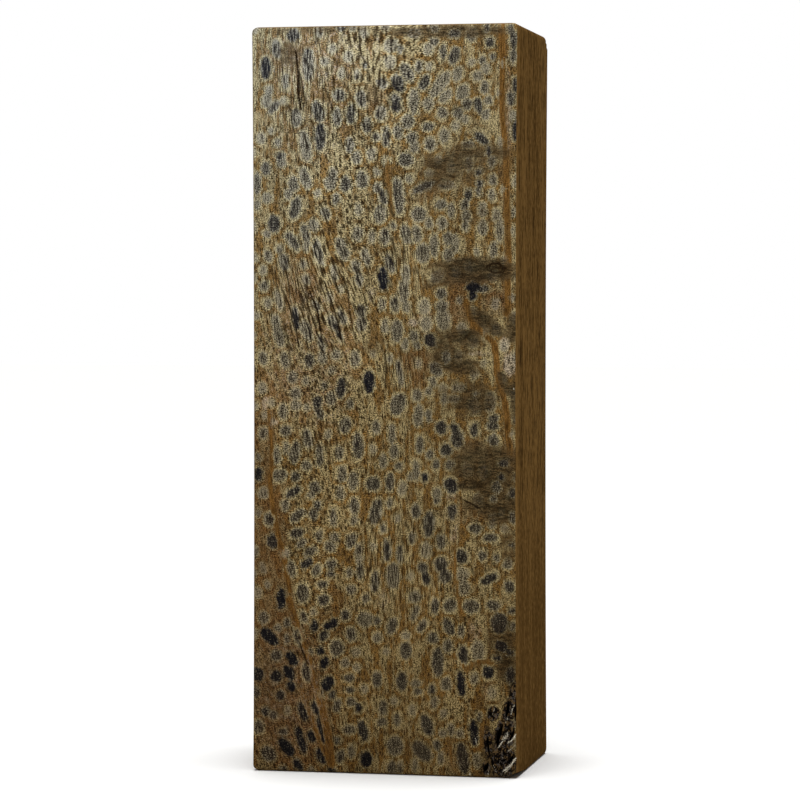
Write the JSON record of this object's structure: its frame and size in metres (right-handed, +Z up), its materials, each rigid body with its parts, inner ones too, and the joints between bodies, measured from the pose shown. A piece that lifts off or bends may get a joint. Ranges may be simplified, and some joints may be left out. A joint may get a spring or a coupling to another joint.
{
  "type": "spalted guava wood block",
  "caption": "Sawn and sanded hardwood block with a spotted spalted figure on its broad faces, upright on one cut end.",
  "frame": {"origin": "middle of the base, on the surface the block stands on", "axes": "+Z up along the grain, -Y out of the figured broad face, +X out of the plain narrow side in view"},
  "size_m": [0.047, 0.032, 0.13],
  "materials": {
    "figured_wood": "sanded bare wood, satin, with an open bark pocket at one corner"
  },
  "bodies": {
    "root": {"wood_block": "figured_wood"}
  },
  "joints": []
}
